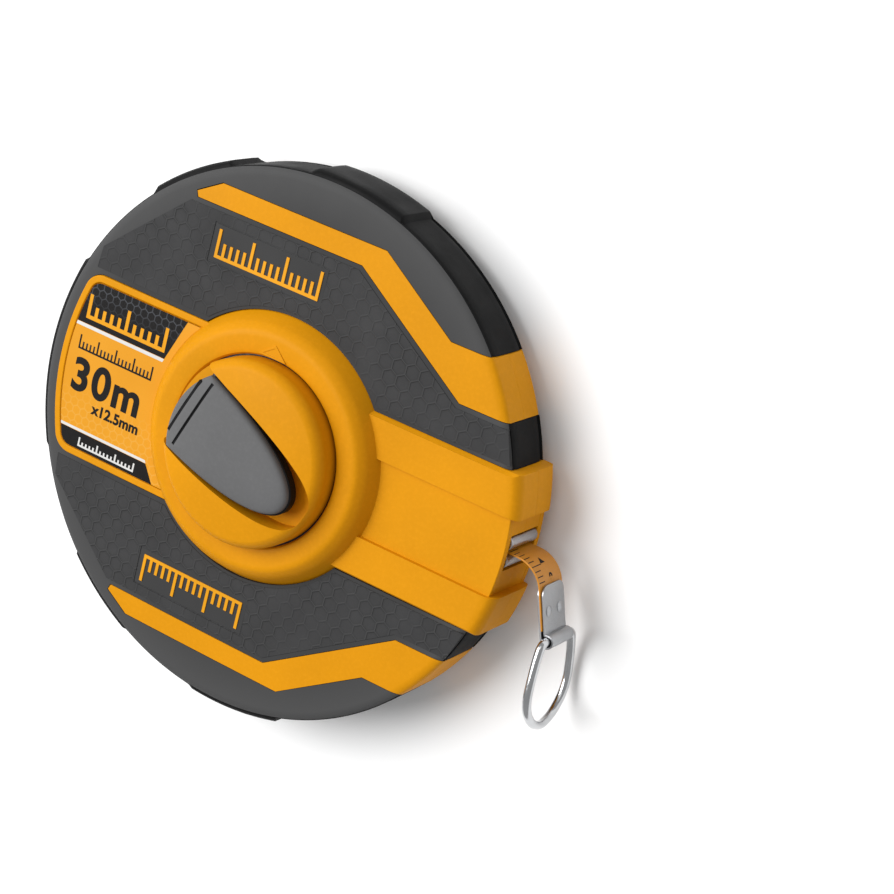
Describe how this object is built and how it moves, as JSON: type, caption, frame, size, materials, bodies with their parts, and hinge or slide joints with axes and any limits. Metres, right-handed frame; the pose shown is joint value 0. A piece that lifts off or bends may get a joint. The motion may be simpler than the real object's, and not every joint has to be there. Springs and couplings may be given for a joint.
{
  "type": "long tape measure",
  "caption": "Closed round case holding a long fibreglass tape on a geared reel, with a flush folding crank handle, roller mouth and an end clip with a wire D-ring.",
  "frame": {"origin": "on the reel's axis, at the middle of the flat rear foot that the case lies on", "axes": "+X out of the tape mouth, +Z out of the crank side along the reel's axis, +Y completes the right-handed set and is the side that the end clip curls away from"},
  "size_m": [0.1771, 0.1572, 0.038],
  "materials": {
    "orange_abs": "satin moulded ABS",
    "grey_rubber": "soft-touch overmould, matt",
    "black_rubber": "soft-touch overmould, matt",
    "handle_grey": "fine satin",
    "label_print": "printed film",
    "tape_orange": "PVC-coated glass fibre",
    "bright_steel": "zinc plated",
    "chrome": "polished",
    "white_nylon": "moulded nylon"
  },
  "bodies": {
    "case": {"front_shell": "orange_abs", "rear_shell": "orange_abs", "front_skin": "grey_rubber", "rear_skin": "grey_rubber", "rim_bumper": "black_rubber", "upper_bumper": "black_rubber", "lower_bumper": "black_rubber", "label": "label_print", "ring_gear": "white_nylon", "centre_axle": "bright_steel", "axle_screw": "bright_steel", "upper_roller_pin": "bright_steel", "lower_roller_pin": "bright_steel", "tape_run": "tape_orange", "case_screw_1": "bright_steel", "case_screw_2": "bright_steel", "case_screw_3": "bright_steel", "case_screw_4": "bright_steel", "case_screw_5": "bright_steel", "case_screw_6": "bright_steel"},
    "reel": {"reel_drum": "white_nylon", "front_flange": "white_nylon", "rear_flange": "white_nylon", "tape_coil": "tape_orange", "sun_gear": "white_nylon"},
    "crank": {"crank_cap": "orange_abs", "planet_carrier": "bright_steel", "handle_pin": "bright_steel", "planet_pin_1": "bright_steel", "planet_pin_2": "bright_steel", "planet_pin_3": "bright_steel", "cap_screw_1": "bright_steel", "cap_screw_2": "bright_steel", "cap_screw_3": "bright_steel"},
    "handle": {"crank_handle": "handle_grey"},
    "planet_1": {"planet_gear_1": "white_nylon"},
    "planet_2": {"planet_gear_2": "white_nylon"},
    "planet_3": {"planet_gear_3": "white_nylon"},
    "roller_upper": {"upper_roller": "bright_steel"},
    "roller_lower": {"lower_roller": "bright_steel"},
    "lead": {"tape_lead": "tape_orange", "end_clip": "bright_steel", "clip_rivet_1": "bright_steel", "clip_rivet_2": "bright_steel"},
    "ring": {"d_ring": "chrome"}
  },
  "joints": [
    {"name": "reel_spin", "type": "hinge", "parent": "case", "child": "reel", "pos_m": [0, 0, 0.0139], "axis": [0, 0, 1], "continuous": true},
    {"name": "crank_turn", "type": "hinge", "parent": "case", "child": "crank", "pos_m": [0, 0, 0.0325], "axis": [0, 0, 1], "continuous": true},
    {"name": "handle_fold", "type": "hinge", "parent": "crank", "child": "handle", "pos_m": [-0.01724, 0.00672, 0.0348], "axis": [-0.3633, -0.9317, 0], "range_deg": [0, 180]},
    {"name": "planet_spin_1", "type": "hinge", "parent": "crank", "child": "planet_1", "pos_m": [0, 0.018, 0.0234], "axis": [0, 0, 1], "continuous": true},
    {"name": "planet_spin_2", "type": "hinge", "parent": "crank", "child": "planet_2", "pos_m": [-0.01559, -0.009, 0.0234], "axis": [0, 0, 1], "continuous": true},
    {"name": "planet_spin_3", "type": "hinge", "parent": "crank", "child": "planet_3", "pos_m": [0.01559, -0.009, 0.0234], "axis": [0, 0, 1], "continuous": true},
    {"name": "upper_roller_spin", "type": "hinge", "parent": "case", "child": "roller_upper", "pos_m": [0.0764, 0.00352, 0.0139], "axis": [0, 0, 1], "continuous": true},
    {"name": "lower_roller_spin", "type": "hinge", "parent": "case", "child": "roller_lower", "pos_m": [0.0764, -0.00153, 0.0139], "axis": [0, 0, 1], "continuous": true},
    {"name": "tape_pull", "type": "slide", "parent": "case", "child": "lead", "axis": [1, 0, 0], "range_m": [0, 0.006]},
    {"name": "ring_swing", "type": "hinge", "parent": "lead", "child": "ring", "pos_m": [0.09469, -0.01752, 0.0139], "axis": [0, 0, 1], "range_deg": [-50, 150]}
  ],
  "couplings": [
    {"joint": "crank_turn", "follows": "reel_spin", "ratio": 0.33333},
    {"joint": "planet_spin_1", "follows": "reel_spin", "ratio": -1.3333},
    {"joint": "planet_spin_2", "follows": "reel_spin", "ratio": -1.3333},
    {"joint": "planet_spin_3", "follows": "reel_spin", "ratio": -1.3333}
  ]
}
